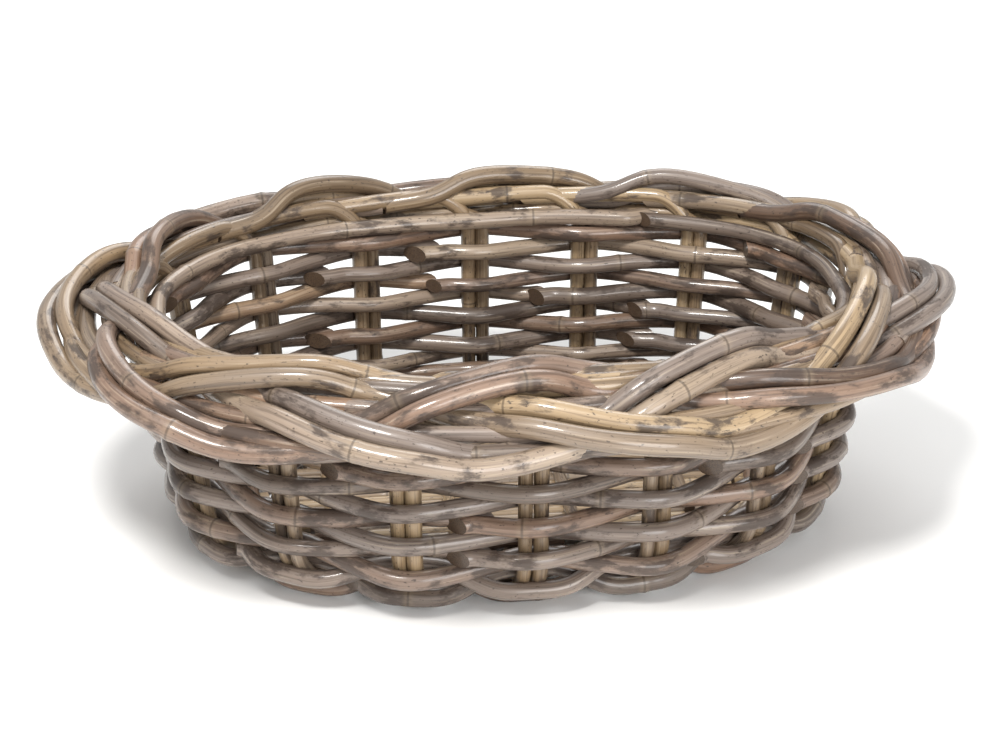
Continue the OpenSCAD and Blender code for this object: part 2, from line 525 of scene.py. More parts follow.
    def _close(self, skin: bpy.types.Node, given: bpy.types.Node) -> None:
        """Marks the cut edges sharp, smooths the rest and sets the finish.

        Args:
            skin: Node that gives the skin.
            given: The group's input node.
        """
        t = self.group
        fold = add(t, "GeometryNodeInputMeshEdgeAngle").outputs["Unsigned Angle"]
        sharp = add(t, "FunctionNodeCompare", {"data_type": "FLOAT", "operation": "GREATER_THAN"},
                    A=fold, B=self.SHARP_ANGLE)
        skin = add(t, "GeometryNodeStoreNamedAttribute", {"data_type": "BOOLEAN", "domain": "EDGE"},
                   Geometry=skin, Name="sharp_edge", Value=sharp)
        skin = add(t, "GeometryNodeSetShadeSmooth", Geometry=skin)
        skin = add(t, "GeometryNodeRealizeInstances", Geometry=skin)
        skin = add(t, "GeometryNodeSetMaterial", Geometry=skin, Material=given.outputs["Finish"])
        add(t, "NodeGroupOutput", Geometry=skin)

    def _draw(self, name: str, rods: list[Rod]) -> bpy.types.Object:
        """Draws rods as edges, with what the group reads as attributes.

        Args:
            name: Name of the piece.
            rods: The rods in it.

        Returns:
            An object whose mesh has only points and edges.
        """
        points, edges, cuts, first = [], [], [], 0
        facts: dict[str, list[Array]] = {"rod_radius": [], "rod_tone": [], "rod_ring": [], "rod_end": []}
        for rod in rods:
            n = len(rod.points)
            points.append(rod.points)
            edges += [(first + i, first + i + 1) for i in range(n - 1)]
            first += n
            fade = np.zeros(n)
            fade[:3] = np.array(self.END_FADE) * rod.slant[0]
            fade[-3:] = np.array(self.END_FADE[::-1]) * rod.slant[1]
            cuts.append(unit(np.gradient(rod.points, axis=0)) * (fade * rod.radius)[:, None])
            end = np.zeros(n)
            end[[0, -1]] = 1
            facts["rod_radius"].append(rod.radius)
            facts["rod_tone"].append(np.full(n, rod.tone))
            facts["rod_ring"].append(off_ring(measure(rod.points), rod.first_ring, rod.ring_gap))
            facts["rod_end"].append(end)
        mesh = bpy.data.meshes.new(name + "_paths")
        mesh.from_pydata(np.concatenate(points).tolist(), edges, [])
        for key, values in facts.items():
            mesh.attributes.new(key, "FLOAT", "POINT").data.foreach_set("value", np.concatenate(values))
        cut = mesh.attributes.new("rod_cut", "FLOAT_VECTOR", "POINT")
        cut.data.foreach_set("vector", np.concatenate(cuts).ravel())
        drawn = bpy.data.objects.new(name + "_paths", mesh)
        bpy.context.scene.collection.objects.link(drawn)
        return drawn

    def piece(self, name: str, rods: list[Rod], finish: bpy.types.Material, seed: int) -> bpy.types.Object:
        """Sweeps rods into one finished piece.

        Args:
            name: Name of the piece.
            rods: The rods in it.
            finish: Its material.
            seed: Seed of the bark's unevenness.

        Returns:
            A plain mesh object at the origin.
        """
        drawn = self._draw(name, rods)
        mod = drawn.modifiers.new("sweep", "NODES")
        mod.node_group = self.group
        mod[self.sides.identifier] = self.SIDES
        mod[self.depth.identifier] = self.BARK_DEPTH
        mod[self.seed.identifier] = float(seed)
        mod[self.finish.identifier] = finish
        graph = bpy.context.evaluated_depsgraph_get()
        done = bpy.data.meshes.new_from_object(drawn.evaluated_get(graph), preserve_all_data_layers=True,
                                               depsgraph=graph)
        done.name = name
        paths = drawn.data
        bpy.data.objects.remove(drawn)
        bpy.data.meshes.remove(paths)
        made = bpy.data.objects.new(name, done)
        bpy.context.scene.collection.objects.link(made)
        return made


# -------------------------------------------------------------------- nodes


def link(tree: bpy.types.NodeTree, value: object, socket: bpy.types.NodeSocket) -> None:
    """Links a node or socket to an input, or sets the input's value.

    Args:
        tree: Node tree that both are in.
        value: A node (its first output is used), an output socket or a plain value.
        socket: Input to feed.
    """
    if isinstance(value, bpy.types.Node):
        value = value.outputs[0]
    if isinstance(value, bpy.types.NodeSocket):
        tree.links.new(value, socket)
    else:
        socket.default_value = value


def add(tree: bpy.types.NodeTree, kind: str, settings: dict[str, object] | None = None,
        **inputs: object) -> bpy.types.Node:
    """Adds a node with its settings and links.

    Args:
        tree: Node tree to add to.
        kind: Node type.
        settings: Properties of the node.
        **inputs: Values or links by input name or identifier.

    Returns:
        The node.
    """
    made = tree.nodes.new(kind)
    for key, value in (settings or {}).items():
        setattr(made, key, value)
    for key, value in inputs.items():
        open_inputs = [s for s in made.inputs if s.enabled]
        found = [s for s in open_inputs if s.identifier == key] or [s for s in open_inputs if s.name == key]
        link(tree, value, found[0])
    return made


# ------------------------------------------------------------------ finishes


@dataclass(frozen=True)
class Pattern:
    """Noise on a rod's bark.

    Attributes:
        across: Repeats per metre across the rod.
        along: Repeats per metre along it.
        detail: Octaves of finer noise on top.
        rough: How strong the finer noise is.
    """

    across: float
    along: float
    detail: float
    rough: float = 0.55

    def draw(self, tree: bpy.types.NodeTree, bark: object, own: object) -> bpy.types.NodeSocket:
        """Adds the pattern to a material.

        Args:
            tree: Material tree.
            bark: Place on the bark, in metres.
            own: Number that sets one rod apart from another.

        Returns:
            The pattern, about 0..1.
        """
        at = add(tree, "ShaderNodeVectorMath", {"operation": "MULTIPLY"}, Vector=bark,
                 Vector_001=(self.across, self.across, self.along))
        return add(tree, "ShaderNodeTexNoise", {"noise_dimensions": "4D"}, Vector=at, W=own, Scale=1.0,
                   Detail=self.detail, Roughness=self.rough).outputs["Fac"]


# Slow change of colour along a rod: 17 mm across, 110 mm along.
DRIFT = Pattern(60, 9, 2.0)
# Fibres of the cane, 1.4 mm wide and 70 mm long: several times coarser than real ones, so that they show.
FIBRE = Pattern(700, 14, 4.0, 0.6)
# Patches where bark is left, 11 mm across and 33 mm along.
PATCHES = Pattern(90, 30, 5.0, 0.62)
# Dark specks, 1.3 mm across and 3.3 mm along.
SPECKS = Pattern(800, 300, 3.0)
# Pores of a cut end, 0.4 mm across.
PORES = Pattern(2600, 10, 1.0)


def lay(tree: bpy.types.NodeTree, under: object, over: object, pattern: object, span: tuple[float, float],
        strength: float = 1.0, mode: str = "MIX") -> tuple[bpy.types.NodeSocket, bpy.types.Node]:
    """Lays one colour over another where a pattern is strong.

    Args:
        tree: Material tree.
        under: Colour below.
        over: Colour on top.
        pattern: Value that decides where the top colour shows.
        span: Values of the pattern at which it begins to show and is fullest.
        strength: How much of it shows where it is fullest.
        mode: How the two are blended.

    Returns:
        The colour, and the node that gives how much of the top colour shows.
    """
    cover = add(tree, "ShaderNodeMapRange", {"clamp": True, "interpolation_type": "SMOOTHSTEP"}, Value=pattern,
                **{"From Min": span[0], "From Max": span[1], "To Min": 0.0, "To Max": strength})
    mixed = add(tree, "ShaderNodeMix", {"data_type": "RGBA", "blend_type": mode, "clamp_factor": True},
                Factor_Float=cover, A_Color=under, B_Color=over)
    # The node's outputs are a number, a vector and a colour, in this order.
    return mixed.outputs[2], cover


@dataclass(frozen=True)
class Rattan:
    """Boiled and lightly varnished whole rattan, with its bark left on.

    Attributes:
        name: Name of the material.
        tones: Colours of the rods of one batch, by increasing tone.
        patchy: 0..1, how much of the bark is left.
        gloss: Weight of the thin varnish.
        stain: Colour of the grey-brown bark left in patches.
        groove: Tint of the fibres' hollows.
        ridge: Pale colour of the fibres' rubbed tops.
        speck: Colour of the small dark specks.
        scar: Colour of the scar round a bark ring.
        scar_side: Colour of the pale bands beside it.
        core: Colour of the pith at a cut end.
        pore: Colour of the pores in it.
    """

    name: str
    tones: tuple[str, ...]
    patchy: float
    gloss: float
    stain: str = "#3A2D25"
    groove: str = "#6E5C4E"
    ridge: str = "#BFB09A"
    speck: str = "#2E221A"
    scar: str = "#33261C"
    scar_side: str = "#9C8A70"
    core: str = "#4E3D2E"
    pore: str = "#2A1E16"

    def material(self) -> bpy.types.Material:
        """Builds the material.

        Returns:
            The material, reading the attributes that the sweep stores.
        """
        mat = bpy.data.materials.new(self.name)
        mat.use_nodes = True
        t = mat.node_tree
        t.nodes.clear()
        tone = add(t, "ShaderNodeAttribute", {"attribute_name": "rod_tone"}).outputs["Fac"]
        own = add(t, "ShaderNodeMath", {"operation": "MULTIPLY"}, Value=tone, Value_001=173.0)
        bark = self._place(t)
        fibre = FIBRE.draw(t, bark, own)
        colour = self._batch(t, tone, DRIFT.draw(t, bark, own))
        colour, _ = lay(t, colour, linear(self.groove), fibre, (0.48, 0.66), 0.55, "MULTIPLY")
        colour, _ = lay(t, colour, linear(self.ridge), fibre, (0.46, 0.30), 0.35)
        left = (0.61 - 0.13 * self.patchy, 0.67 - 0.08 * self.patchy)
        colour, patch = lay(t, colour, linear(self.stain), PATCHES.draw(t, bark, own), left, 0.85)
        colour, _ = lay(t, colour, linear(self.speck), SPECKS.draw(t, bark, own), (0.61, 0.69), 0.8)
        colour = self._rings(t, colour)
        colour = self._cut_ends(t, colour, PORES.draw(t, bark, own))
        # Bark left on is duller than the scraped and varnished cane, and lies lower in the bump.
        rough = add(t, "ShaderNodeMath", {"operation": "MULTIPLY_ADD"},
                    Value=patch, Value_001=0.28, Value_002=0.36)
        rough = add(t, "ShaderNodeMath", {"operation": "MULTIPLY_ADD"},
                    Value=fibre, Value_001=0.22, Value_002=rough)
        height = add(t, "ShaderNodeMath", {"operation": "MULTIPLY_ADD"},
                     Value=patch, Value_001=-0.6, Value_002=fibre)
        bump = add(t, "ShaderNodeBump", Height=height, Strength=0.75, Distance=0.35 * MM)
        body = add(t, "ShaderNodeBsdfPrincipled",
                   **{"Base Color": colour, "Roughness": rough, "Normal": bump, "Coat Weight": self.gloss,
                      "Coat Roughness": 0.12})
        add(t, "ShaderNodeOutputMaterial", Surface=body)
        return mat

    def _place(self, t: bpy.types.NodeTree) -> bpy.types.Node:
        """Place on a rod's bark in metres: along the rod, and round a 5 mm radius.

        Args:
            t: Material tree.

        Returns:
            Node that gives the place.
        """
        along = add(t, "ShaderNodeAttribute", {"attribute_name": "rod_along"}).outputs["Fac"]
        spun = add(t, "ShaderNodeAttribute", {"attribute_name": "rod_round"}).outputs["Vector"]
        bark = add(t, "ShaderNodeVectorMath", {"operation": "MULTIPLY"},
                   Vector=spun, Vector_001=(0.005, 0.005, 0))
        return add(t, "ShaderNodeVectorMath", {"operation": "ADD"}, Vector=bark,
                   Vector_001=add(t, "ShaderNodeCombineXYZ", Z=along))

    def _batch(self, t: bpy.types.NodeTree, tone: object, drift: object) -> bpy.types.NodeSocket:
        """Colour of each rod of the batch, which changes slowly along it.

        Args:
            t: Material tree.
            tone: The rod's tone.
            drift: Slow pattern along the rod.

        Returns:
            The colour.
        """
        shade = add(t, "ShaderNodeMath", {"operation": "MULTIPLY_ADD"},
                    Value=drift, Value_001=0.5, Value_002=-0.25)
        shade = add(t, "ShaderNodeMath", {"operation": "ADD", "use_clamp": True}, Value=shade, Value_001=tone)
        batch = add(t, "ShaderNodeValToRGB", Fac=shade)
        stops = batch.color_ramp.elements
        while len(stops) < len(self.tones):
            stops.new(0.5)
        for k, tint in enumerate(self.tones):
            stops[k].position = k / (len(self.tones) - 1)
            stops[k].color = linear(tint)
        return batch.outputs["Color"]

    def _rings(self, t: bpy.types.NodeTree, colour: object) -> bpy.types.NodeSocket:
        """Bark rings: a thin dark scar with a paler band to each side.

        Args:
            t: Material tree.
            colour: Colour of the bark.

        Returns:
            The colour with the rings.
        """
        ring = add(t, "ShaderNodeAttribute", {"attribute_name": "rod_ring"}).outputs["Fac"]
        near = add(t, "ShaderNodeMath", {"operation": "ABSOLUTE"}, Value=ring)
        colour, _ = lay(t, colour, linear(self.scar_side), near, (5.0 * MM, 1.0 * MM), 0.16)
        colour, _ = lay(t, colour, linear(self.scar), near, (1.2 * MM, 0.3 * MM), 0.6)
        return colour

    def _cut_ends(self, t: bpy.types.NodeTree, colour: object, pores: object) -> bpy.types.NodeSocket:
        """Brown porous pith on the cut ends.

        Args:
            t: Material tree.
            colour: Colour of the bark.
            pores: Pattern of the pores.

        Returns:
            The colour with the cut ends.
        """
        end = add(t, "ShaderNodeAttribute", {"attribute_name": "rod_end"}).outputs["Fac"]
        pith, _ = lay(t, linear(self.core), linear(self.pore), pores, (0.5, 0.62), 0.8)
        colour, _ = lay(t, colour, pith, end, (0.96, 0.99))
        return colour


FINISHES: dict[Slot, Rattan] = {
    # Thick rods from near the root, honey to straw coloured, most of the bark scraped off.
    Slot.TAN: Rattan("rattan_whole_tan",
                     ("#6A5844", "#8A7459", "#7A6A5A", "#937C5E", "#A08A6C"), patchy=0.5, gloss=0.6),
    # Weathered rods, grey with a mauve cast where the mud bath took.
    Slot.GREY: Rattan("rattan_whole_grey",
                      ("#5F5248", "#7B6C61", "#73675F", "#857467", "#93826F"), patchy=0.7, gloss=0.5),
    # Rods with the most bark left, brown to rust coloured.
    Slot.BROWN: Rattan("rattan_whole_brown",
                       ("#523F32", "#715A49", "#7A675A", "#7E6350", "#8F775F"), patchy=0.95, gloss=0.5),
}


# --------------------------------------------------------------- assemblies


@dataclass
class Workshop:
    """What every sub-assembly is built with.

    Attributes:
        bowl: The woven surface.
        sweep: What makes rods round.
        finishes: Material of each slot.
        made: The pieces so far.
    """

    bowl: Bowl
    sweep: Sweep
    finishes: dict[Slot, bpy.types.Material]
    made: list[bpy.types.Object] = field(default_factory=list)

    def finish_piece(self, node: str, rods: list[Rod], slot: Slot, seed: int) -> None:
        """Sweeps, dresses and registers the piece that stands for one node of the frame.

        Args:
            node: Name of the node.
            rods: The rods in the piece.
            slot: Its material slot.
            seed: Seed of the bark's unevenness.
        """
        piece = self.sweep.piece(node + "_rods", rods, self.finishes[slot], seed)
        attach(piece, "root")
        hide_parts(node)
        self.made.append(piece)
        LOG.info("%s: %d rods, %d faces", node, len(rods), len(piece.data.polygons))


@dataclass
class Weave:
    """The rows of single weavers.

    Attributes:
        shop: What it is built with.
        rows: Number of rows; the last runs inside every stake.
        base_rows: How many of them are in the flat of the base.
        corner_rows: How many are in the bend.
        rods_per_row: Rods laid end to end in a row.
        rod_r: Least and greatest radius of a rod.
        flat_r: Radius of the rods of the first flat_rows rows, which have the least room.
        flat_rows: How many rows those are.
        lead: How far past a pair of stakes a rod starts, in stake spacings.
        tail: How far past a pair of stakes it ends.
        taper: Greatest share of its radius that a rod loses along it.
        slip: How far a rod strays up and down by itself.
        bulge: How far it strays in and out.
    """

    shop: Workshop
    rows: int = 17
    base_rows: int = 2
    corner_rows: int = 5
    rods_per_row: int = 3
    rod_r: tuple[float, float] = (5.6 * MM, 6.5 * MM)
    flat_r: float = 4.9 * MM
    flat_rows: int = 3
    lead: tuple[float, float] = (0.38, 0.44)
    tail: tuple[float, float] = (0.42, 0.62)
    taper: float = 0.1
    slip: float = 0.6 * MM
    bulge: float = 0.25 * MM

    def node(self, row: int) -> str:
        """Name of the node of a row.

        Args:
            row: Number of the row, counted from one.

        Returns:
            The node's name in the frame.
        """
        if row <= self.base_rows:
            return f"base_weaver_{row}"
        if row <= self.base_rows + self.corner_rows:
            return f"corner_weaver_{row - self.base_rows}"
        return f"side_weaver_{row - self.base_rows - self.corner_rows:02d}"

    def sway(self, row: int, u: Array) -> Array:
        """How far a row rides up or down from its even place, much as its neighbours do.

        Args:
            row: Number of the row, counted from one.
            u: Place round the basket, in stake spacings.

        Returns:
            The distance up, none in the base and in the last row.
        """
        turn = 2 * np.pi * u / PAIRS
        free = np.clip((row - 5) / 6, 0, 1) * np.clip((self.rows - row) / 4, 0, 1)
        return free * MM * (1.6 * np.sin(2 * turn + 0.16 * row) + 1.3 * np.sin(5 * turn + 1.0 + 0.2 * row))

    def row(self, row: int) -> list[Rod]:
        """Draws one row, each rod ending against the next beside a stake pair.

        Args:
            row: Number of the row, counted from one.

        Returns:
            Its rods.
        """
        bowl, rng = self.shop.bowl, np.random.default_rng(400 + row)
        inner = [k for k in range(PAIRS) if (k + row) % 2 == 1]
        start = rng.integers(0, len(inner))
        joints = sorted(inner[(start + 3 * k) % len(inner)] for k in range(self.rods_per_row))
        rods = []
        for k, a in enumerate(joints):
            b = joints[(k + 1) % len(joints)]
            b = b + PAIRS if b <= a else b
            lead, tail = rng.uniform(*self.lead), rng.uniform(*self.tail)
            u = np.arange(a + lead, b + tail, 0.02)
            w = self.offset(row, u, a, b)
            s = (u - u[0]) * bowl.spacing
            q = bowl.row_q(row, u)
            r = rng.uniform(*self.rod_r)
            if row <= self.flat_rows:
                r = self.flat_r
            else:
                q = q + self.sway(row, u) + self.slip * wander(rng, s, 0.12)
            thin = 1 - self.taper * np.clip(s / s[-1], 0, 1) * rng.uniform(0, 1)
            path = bowl.place(q, u, w + self.bulge * wander(rng, s, 0.1))
            tone, cut = rng.uniform(0, 1), (rng.uniform(0.7, 1.3), rng.uniform(0.9, 1.5))
            rods.append(grow(path, r * thin, rng, tone, cut))
        return rods

    def offset(self, row: int, u: Array, a: int, b: int) -> Array:
        """Distance out of the woven surface along a rod, in and out of the stakes.

        Args:
            row: Number of the row, counted from one.
            u: Place round the basket, in stake spacings.
            a: Pair that the rod starts just after.
            b: Pair that it ends just after.

        Returns:
            The distances, positive outside. The start lies outside the last
            rod's tail, and the tail stays inside.
        """
        i = np.round(u)
        side = np.where((i + row) % 2 == 0, 1.0, -1.0)
        x = u - i
        # Rods turn sharply round the stakes up the side, and lie flatter against them in the base.
        upright = row > self.base_rows + self.corner_rows - 1
        peak, reach = (0.07, 1.04) if upright else (-0.12, 1.1)
        w = side * (np.cos(np.pi * x) + peak * np.cos(3 * np.pi * x)) * reach
        if row == self.rows:
            w = -1.0 - 0.04 * np.cos(2 * np.pi * x)
        late = smooth((u - b - 0.15) / 0.25)
        w = w * (1 - late) + np.minimum(w, -0.92) * late
        early = smooth((a + 0.62 - u) / 0.2)
        w = w * (1 - early) + np.maximum(w, 0.22) * early
        return w * self.shop.bowl.weave

    def build(self) -> None:
        """Builds and dresses every row."""
        for row in range(1, self.rows + 1):
            self.shop.finish_piece(self.node(row), self.row(row), self.slot(row), row)

    @staticmethod
    def slot(row: int) -> Slot:
        """Material slot of a row."""
        return Slot.BROWN if (row - 1) % 3 == 0 else Slot.GREY


@dataclass
class Stakes:
    """The pairs of stakes, which turn over at the top and run on under the border.

    Attributes:
        shop: What it is built with.
        under_from: Where a tip comes in under the border, in stake spacings past its pair.
        under_to: Where it ends.
        inner_lane: Where across the plait a leading stake's tip starts and how far it moves, in millimetres.
        inner_depth: Where above the plait's middle surface it starts and how far it rises, in millimetres.
        cross_lane: Where across the plait a trailing stake's tip starts and how far it moves, in millimetres.
        cross_depth: How far below the strands' lowest middle line it lies.
        short: How much of a stake's length the turn at the top takes.
        spread: Extra space on each side of a pair's middle.
    """

    shop: Workshop
    under_from: float = 0.34
    under_to: float = 1.55
    inner_lane: tuple[float, float] = (-31.5, 3.5)
    inner_depth: tuple[float, float] = (-5.5, -2)
    cross_lane: tuple[float, float] = (-22, 24)
    cross_depth: float = 6 * MM
    short: float = 9 * MM
    spread: float = 0.25 * MM

    def under(self, u: float, side: int, rng: np.random.Generator) -> Array:
        """Path of a stake's tip in the border.

        The leading stake of a pair runs on along the plait's inner edge, and
        the trailing one crosses under the plait to its middle.

        Args:
            u: Place of the pair, in stake spacings.
            side: 1 for the leading stake, -1 for the trailing one.
            rng: Seeded generator.

        Returns:
            Dense points of the path.
        """
        f = self.shop.bowl.form
        v = np.linspace(self.under_from + 0.05 * side, self.under_to + rng.uniform(-0.15, 0.1), 44)
        x = smooth((v - self.under_from) / (self.under_to - self.under_from))
        if side > 0:
            s = (self.inner_lane[0] + self.inner_lane[1] * x) * MM
            lift = (self.inner_depth[0] + self.inner_depth[1] * x) * MM
        else:
            s = (self.cross_lane[0] + self.cross_lane[1] * x) * MM
            lift = (-f.lift - self.cross_depth) + 0 * x
        return self.shop.bowl.plait(u + v, s, lift)

    def pair(self, number: int) -> list[Rod]:
        """Draws the two stakes of a pair, from their feet in the base to their tips in the border.

        Args:
            number: Number of the pair, counted from one at the +X end.

        Returns:
            The two rods.
        """
        bowl, rng = self.shop.bowl, np.random.default_rng(100 + number)
        f, u = bowl.form, float(number - 1)
        top = float(bowl.profile(np.array(u))[3])
        rods = []
        for side in (-1, 1):
            shift = side * (f.stake_r + f.gap / 2 + self.spread)
            q = np.arange(0, top - self.short, 2 * MM)
            path = bowl.place(q, np.full_like(q, u), 0 * q) + bowl.sideways(np.array(u)) * shift
            onward = self.under(u, side, rng)
            path = np.concatenate([path, bridge(path, onward, 20), onward[1:]])
            # The rods thicken towards the border, the leading one more.
            r = f.stake_r * rng.uniform(0.95, 1.03) * np.linspace(1, 1.28 if side > 0 else 1.1, len(path))
            rods.append(grow(path, r, rng, rng.uniform(0, 1), (0.2, 0.7)))
        return rods

    def build(self) -> None:
        """Builds and dresses every pair."""
        for number in range(1, PAIRS + 1):
            self.shop.finish_piece(f"stake_pair_{number:02d}", self.pair(number), Slot.TAN, number)


def bridge(path: Array, onward: Array, steps: int) -> Array:
    """Smooth run from the end of one path to the start of another.

    Args:
        path: Path to leave.
        onward: Path to join.
        steps: Number of points in the run.

    Returns:
        The points of the run, without the path's own end.
    """
    a, b = path[-1], onward[0]
    reach = np.linalg.norm(b - a)
    da = unit(path[-1] - path[-3]) * reach
    db = unit(onward[2] - onward[0]) * reach
    t = np.linspace(0, 1, steps + 1)[1:, None]
    h = (2 * t**3 - 3 * t**2 + 1) * a + (t**3 - 2 * t**2 + t) * da
    return h + (-2 * t**3 + 3 * t**2) * b + (t**3 - t**2) * db


@dataclass
class Border:
    """The three-strand plait of paired rods.

    Attributes:
        shop: What it is built with.
        rod_r: Least and greatest radius of a rod.
        tail_r: The same of an older rod's tail, in millimetres.
        inset: How much less than the solids' strands these swing.
        lift_share: Share of the solids' rise and dip that they make.
        snap: How quickly a strand changes from over to under.
        stray: How far a rod strays sideways.
        roll: How far the two rods of a strand roll round each other, in radians.
        calm: Length at each end of a strand where it doesn't stray or roll.
        tail_lanes: Where across the plait the tails lie.
        tail_starts: Where each tail starts, as a share of the way to the next strand's start.
        tail_run: Length of a tail, in strand starts.
        tail_below: How far below the plait's middle surface the tails lie.
    """

    shop: Workshop
    rod_r: tuple[float, float] = (6.3 * MM, 7.3 * MM)
    tail_r: tuple[float, float] = (5.2, 6.2)
    inset: float = 2.0 * MM
    lift_share: float = 0.8
    snap: float = 1.9
    stray: float = 1.6 * MM
    roll: float = 0.45
    calm: float = 50 * MM
    tail_lanes: tuple[float, ...] = (-22 * MM, -8.5 * MM, 8.5 * MM, 23 * MM)
    tail_starts: tuple[float, ...] = (0.1, 0.6, 0.35, 0.85)
    tail_run: float = 1.2
    tail_below: float = 5 * MM

    def middle(self, strand: int, u: Array) -> Array:
        """Middle line of a strand.

        Args:
            strand: Number of the strand, counted from zero.
            u: Place round the basket, in stake spacings.

        Returns:
            The points, in the basket's frame.
        """
        bowl = self.shop.bowl
        f = bowl.form
        a = 2 * np.pi * (u / bowl.strand_start - strand - 1) / 3 - np.pi / 4
        lift = np.tanh(self.snap * np.sin(2 * a)) / math.tanh(self.snap)
        return bowl.plait(u, (f.swing - self.inset) * np.sin(a), self.lift_share * f.lift * lift)

    def strand(self, number: int) -> list[Rod]:
        """Draws a strand, and the older rods' tails that lie under it.

        Args:
            number: Number of the strand, counted from one.

        Returns:
            The strand's two rods and the tails.
        """
        bowl, rng = self.shop.bowl, np.random.default_rng(700 + number)
        f = bowl.form
        start = number * bowl.strand_start
        u = np.arange(start + 0.004, start + 3 * bowl.strand_start - 0.004, 0.015)
        s = (u - u[0]) * bowl.spacing
        mid = self.middle(number - 1, u)
        way = unit(self.middle(number - 1, u + 0.02) - self.middle(number - 1, u - 0.02))
        up = bowl.outward(u) * math.sin(f.droop) + np.array([0, 0, math.cos(f.droop)])
        aside = unit(np.cross(way, up))
        above = unit(np.cross(aside, way))
        free = smooth(np.minimum(s, s[-1] - s) / self.calm)
        roll = (wander(rng, s, 0.16) * self.roll * free)[:, None]
        rods = []
        for side in (-1, 1):
            r = rng.uniform(*self.rod_r)
            path = mid + side * (r + 0.1 * MM) * (aside * np.cos(roll) + above * np.sin(roll))
            path = path + aside * (wander(rng, s, 0.14) * self.stray * free)[:, None]
            path = path + above * (wander(rng, s, 0.12) * 0.6 * self.stray * free)[:, None]
            thin = r * (1 - rng.uniform(0.0, 0.16) * s / s[-1])
            rods.append(grow(path, thin, rng, rng.uniform(0, 1), (0.3, 0.5)))
        return rods + [self.tail(number, lane, rng) for lane in range(len(self.tail_lanes))]

    def tail(self, number: int, lane: int, rng: np.random.Generator) -> Rod:
        """Draws the tail of an earlier rod, tucked away under the plait and seen through it.

        Args:
            number: Number of the strand whose start it lies under, counted from one.
            lane: Which lane it lies in, from the plait's inner edge outwards.
            rng: Seeded generator.

        Returns:
            The tail.
        """
        bowl = self.shop.bowl
        begin = (number + self.tail_starts[lane] + rng.uniform(-0.08, 0.08)) * bowl.strand_start
        u = np.arange(begin, begin + self.tail_run * bowl.strand_start, 0.02)
        drift = wander(rng, (u - u[0]) * bowl.spacing, 0.1)
        path = bowl.plait(u, self.tail_lanes[lane] + self.stray * drift, -self.tail_below + 1.2 * MM * drift)
        return grow(path, rng.uniform(*self.tail_r) * MM, rng, rng.uniform(0, 1), (0.5, 0.8))

    def build(self) -> None:
        """Builds and dresses every strand."""
        order = (Slot.GREY, Slot.TAN, Slot.BROWN)
        for number in range(1, self.shop.bowl.form.strands + 1):
            slot = order[number % len(order)]
            self.shop.finish_piece(f"border_strand_{number:02d}", self.strand(number), slot, 50 + number)


@dataclass
class BaseMat:
    """The mat of long rods in the middle of the base, with cross rods over and under it.

    Attributes:
        shop: What it is built with.
        long_rods: Number of long rods.
        pitch: Distance from one to the next.
        edge: How far outside the stake tops the mat ends, so negative.
        cross_x: Places of the cross rods along the basket.
        cross_over: How far a cross rod runs past the mat at each end.
        cross_r: Radius of a cross rod.
    """

    shop: Workshop
    long_rods: int = 15
    pitch: float = 9.6 * MM
    edge: float = -80.5 * MM
    cross_x: tuple[float, ...] = (-0.12, -0.08, -0.04, 0.0, 0.04, 0.08, 0.12)
    cross_over: float = 5 * MM
    cross_r: float = 4.3 * MM

    def half(self, v: float, along: float, across: float) -> float:
        """Half the mat's extent on one axis, at distance v from its centre on the other."""
        n = self.shop.bowl.form.fullness
        return along * max(0.0, 1 - (abs(v) / across) ** n) ** (1 / n)

    def straight(self, a: tuple[float, float, float], b: tuple[float, float, float], r: float,
                 rng: np.random.Generator) -> Rod:
        """Makes a straight rod.

        Args:
            a: Where it starts.
            b: Where it ends.
            r: Its greatest radius.
            rng: Seeded generator.

        Returns:
            The rod.
        """
        t = np.linspace(0, 1, 80)[:, None]
        path = np.array(a) * (1 - t) + np.array(b) * t
        return grow(path, r * rng.uniform(0.96, 1.0), rng, rng.uniform(0, 1), (0.3, 0.3))

    def build(self) -> None:
        """Builds and dresses both nodes of the mat."""
        bowl, rng = self.shop.bowl, np.random.default_rng(31)
        f, z = bowl.form, bowl.base_z
        mat_l, mat_w = f.half_l + self.edge, f.half_w + self.edge
        rods = []
        for k in range(self.long_rods):
            y = (k - (self.long_rods - 1) / 2) * self.pitch
            h = self.half(y, mat_l, mat_w)
            rods.append(self.straight((-h, y, z), (h, y, z), f.stake_r, rng))
        self.shop.finish_piece("base_long_rods", rods, Slot.TAN, 91)
        rods = []
        for k, x in enumerate(self.cross_x):
            h = self.half(x, mat_w, mat_l) + self.cross_over
            off = (1 if k % 2 == 0 else -1) * (f.stake_r + self.cross_r + f.gap)
            rods.append(self.straight((x, -h, z + off), (x, h, z + off), self.cross_r, rng))
        self.shop.finish_piece("base_cross_rods", rods, Slot.TAN, 92)


# -------------------------------------------------------------------- studio


@dataclass(frozen=True)
class Lamp:
    """A soft round lamp.

    Attributes:
        name: Name of the lamp.
        place: Where it is.
        size: Its diameter.
        watts: How strong it is.
        colour: Colour of its light, linear.
    """

    name: str
    place: tuple[float, float, float]
    size: float
    watts: float
    colour: tuple[float, float, float] = (1.0, 1.0, 1.0)

    def build(self, aim: Vector) -> None:
        """Builds the lamp.

        Args:
            aim: Point that it shines at.
        """
        data = bpy.data.lights.new(self.name, "AREA")
        data.shape = "DISK"
        data.size = self.size
        data.energy = self.watts
        data.color = self.colour
        made = bpy.data.objects.new(self.name, data)
        made.location = self.place
        made.rotation_euler = (aim - Vector(self.place)).to_track_quat("-Z", "Y").to_euler()
        bpy.context.scene.collection.objects.link(made)


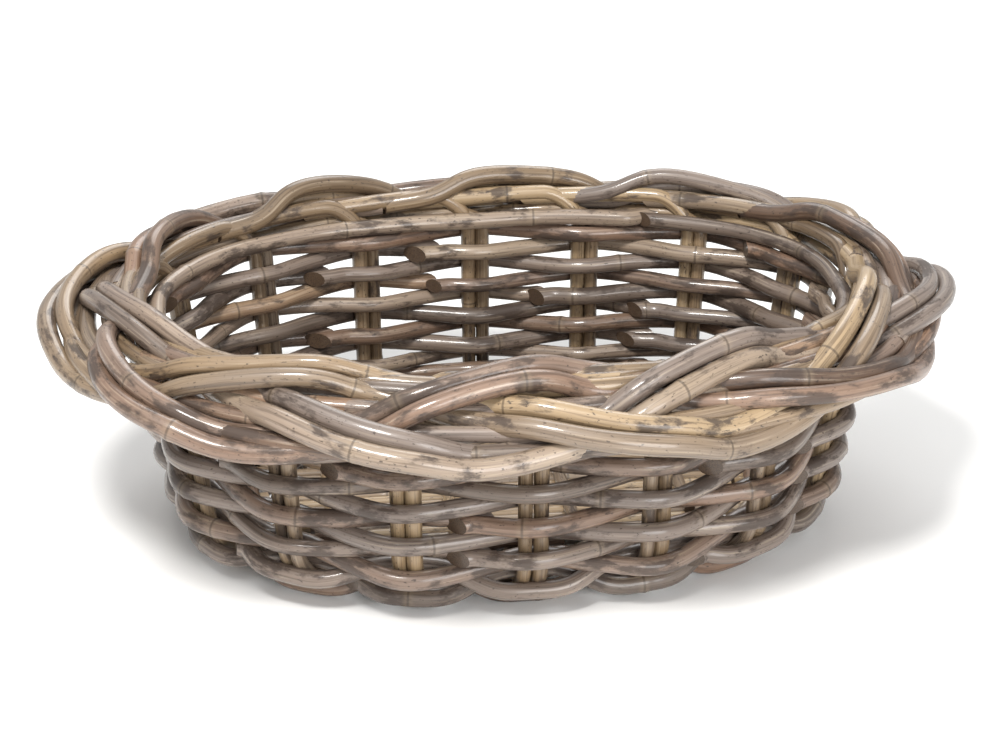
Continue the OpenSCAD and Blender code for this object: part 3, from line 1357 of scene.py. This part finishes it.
@dataclass
class Studio:
    """Pale floor, soft lamps, an even sky and the camera.

    Attributes:
        distance: Distance of the camera from the point it looks at.
        elevation: How far above the level it stands.
        swivel: How far it stands round towards the -X end, from straight in front.
        aim: The point it looks at.
        lens: Focal length, in millimetres.
        shift: Shift of the picture, as a share of its width.
        floor_size: Side of the floor.
        sky: Strength of the sky.
        lamps: The lamps.
    """

    distance: float = 1.6977
    elevation: float = math.radians(24.59)
    swivel: float = math.radians(7.17)
    aim: tuple[float, float, float] = (0.0, 0.0, 0.1)
    lens: float = 89.91
    shift: tuple[float, float] = (-0.002, 0.0014)
    floor_size: float = 14
    sky: float = 0.62
    lamps: tuple[Lamp, ...] = (
        Lamp("key_lamp", (-0.55, -1.15, 2.1), 0.6, 60.0, (1.0, 0.985, 0.96)),
        Lamp("fill_lamp", (0.7, -2.1, 0.8), 1.2, 30.0),
        Lamp("back_lamp", (0.3, 1.6, 1.7), 1.4, 20.0),
    )

    def build(self) -> None:
        """Builds the floor, the lamps, the sky and the camera."""
        self._floor()
        for lamp in self.lamps:
            lamp.build(Vector(self.aim))
        self._sky()
        self._camera()

    def _floor(self) -> None:
        """Lays a sheet of matt white paper under the basket."""
        bpy.ops.mesh.primitive_plane_add(size=self.floor_size)
        floor = bpy.context.active_object
        floor.name = "studio_floor"
        paint = bpy.data.materials.new("white_paper")
        paint.use_nodes = True
        body = paint.node_tree.nodes["Principled BSDF"]
        body.inputs["Base Color"].default_value = linear("#F4F4F3")
        body.inputs["Roughness"].default_value = 0.9
        floor.data.materials.append(paint)

    def _sky(self) -> None:
        """Sets an even white sky, shown without a film-like curve so that white stays white."""
        world = bpy.data.worlds.new("studio")
        world.use_nodes = True
        sky = world.node_tree.nodes["Background"]
        sky.inputs["Color"].default_value = (1, 1, 1, 1)
        sky.inputs["Strength"].default_value = self.sky
        bpy.context.scene.world = world
        bpy.context.scene.view_settings.view_transform = "Standard"

    def _camera(self) -> None:
        """Sets up the camera, a little above the basket and to its left."""
        data = bpy.data.cameras.new("camera")
        data.lens, data.sensor_width = self.lens, 36.0
        data.shift_x, data.shift_y = self.shift
        eye = bpy.data.objects.new("camera", data)
        c, s = math.cos(self.elevation), math.sin(self.elevation)
        back = Vector((-c * math.sin(self.swivel), -c * math.cos(self.swivel), s))
        eye.location = Vector(self.aim) + back * self.distance
        eye.rotation_euler = (-back).to_track_quat("-Z", "Y").to_euler()
        bpy.context.scene.collection.objects.link(eye)
        bpy.context.scene.camera = eye


def main() -> None:
    logging.basicConfig(level=logging.INFO, format="%(message)s")
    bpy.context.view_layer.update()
    shop = Workshop(Bowl(Form.from_frame()), Sweep(), {s: f.material() for s, f in FINISHES.items()})
    BaseMat(shop).build()
    Stakes(shop).build()
    Weave(shop).build()
    Border(shop).build()
    Studio().build()
    LOG.info("%d pieces, %d faces", len(shop.made), sum(len(o.data.polygons) for o in shop.made))


if __name__ == "__main__":
    main()
